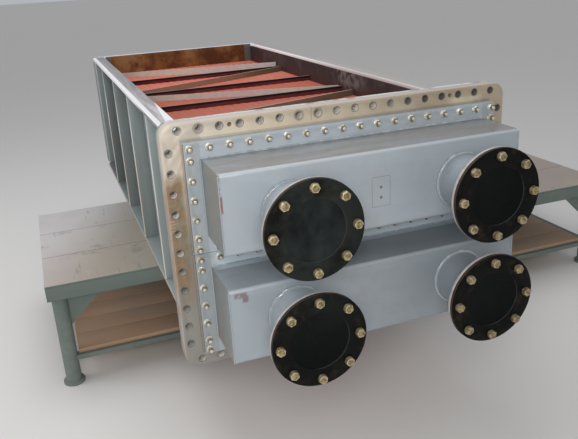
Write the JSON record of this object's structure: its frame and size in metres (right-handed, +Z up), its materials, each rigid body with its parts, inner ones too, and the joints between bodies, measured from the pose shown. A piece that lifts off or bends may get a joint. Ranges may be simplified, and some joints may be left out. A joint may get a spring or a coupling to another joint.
{
  "type": "water cooled finned tube air cooler on a work table",
  "caption": "Open rectangular casing with a finned tube bundle, a drilled tube sheet, two water boxes and blanked flanged nozzles, lying on a steel work table.",
  "frame": {"origin": "middle of the box round the whole part, on the floor under the table's feet", "axes": "+X to the right across the tube sheet as seen from the water boxes, +Y along the tubes away from the water boxes, +Z up"},
  "size_m": [2.88, 3.154, 1.239],
  "materials": {
    "bare_steel": "machined, slightly stained",
    "copper_fins": "fine copper fins, matt",
    "black_steel": "black satin paint",
    "grey_strip": "dull bare strip",
    "casing_paint": "blue grey satin paint",
    "water_box_paint": "light blue grey gloss paint",
    "table_paint": "grey green paint",
    "worn_table_top": "worn, marked steel plate",
    "shelf_boards": "dark worn boards"
  },
  "bodies": {
    "root": {"tube_sheet": "bare_steel", "casing_end_frame": "water_box_paint", "left_wall": "casing_paint", "right_wall": "casing_paint", "rear_tube_sheet": "casing_paint", "left_top_flange": "bare_steel", "right_top_flange": "bare_steel", "left_bottom_flange": "casing_paint", "right_bottom_flange": "casing_paint", "left_ribs": "casing_paint", "right_ribs": "casing_paint", "fin_banks": "copper_fins", "support_plate_1": "black_steel", "support_plate_2": "black_steel", "support_plate_3": "black_steel", "support_plate_4": "black_steel", "support_plate_5": "black_steel", "support_plate_6": "black_steel", "zigzag_strips": "grey_strip", "upper_box_flange": "water_box_paint", "lower_box_flange": "water_box_paint", "upper_water_box": "water_box_paint", "lower_water_box": "water_box_paint", "upper_left_nozzle": "water_box_paint", "upper_right_nozzle": "water_box_paint", "lower_left_nozzle": "water_box_paint", "lower_right_nozzle": "water_box_paint", "upper_left_cover": "black_steel", "upper_right_cover": "black_steel", "lower_left_cover": "black_steel", "lower_right_cover": "black_steel", "upper_return_box": "water_box_paint", "lower_return_box": "water_box_paint", "table_top": "worn_table_top", "front_apron": "table_paint", "rear_apron": "table_paint", "left_apron": "table_paint", "right_apron": "table_paint", "table_legs": "table_paint", "leg_gussets": "table_paint", "long_rails": "table_paint", "cross_rails": "table_paint", "shelf": "shelf_boards"}
  },
  "joints": []
}
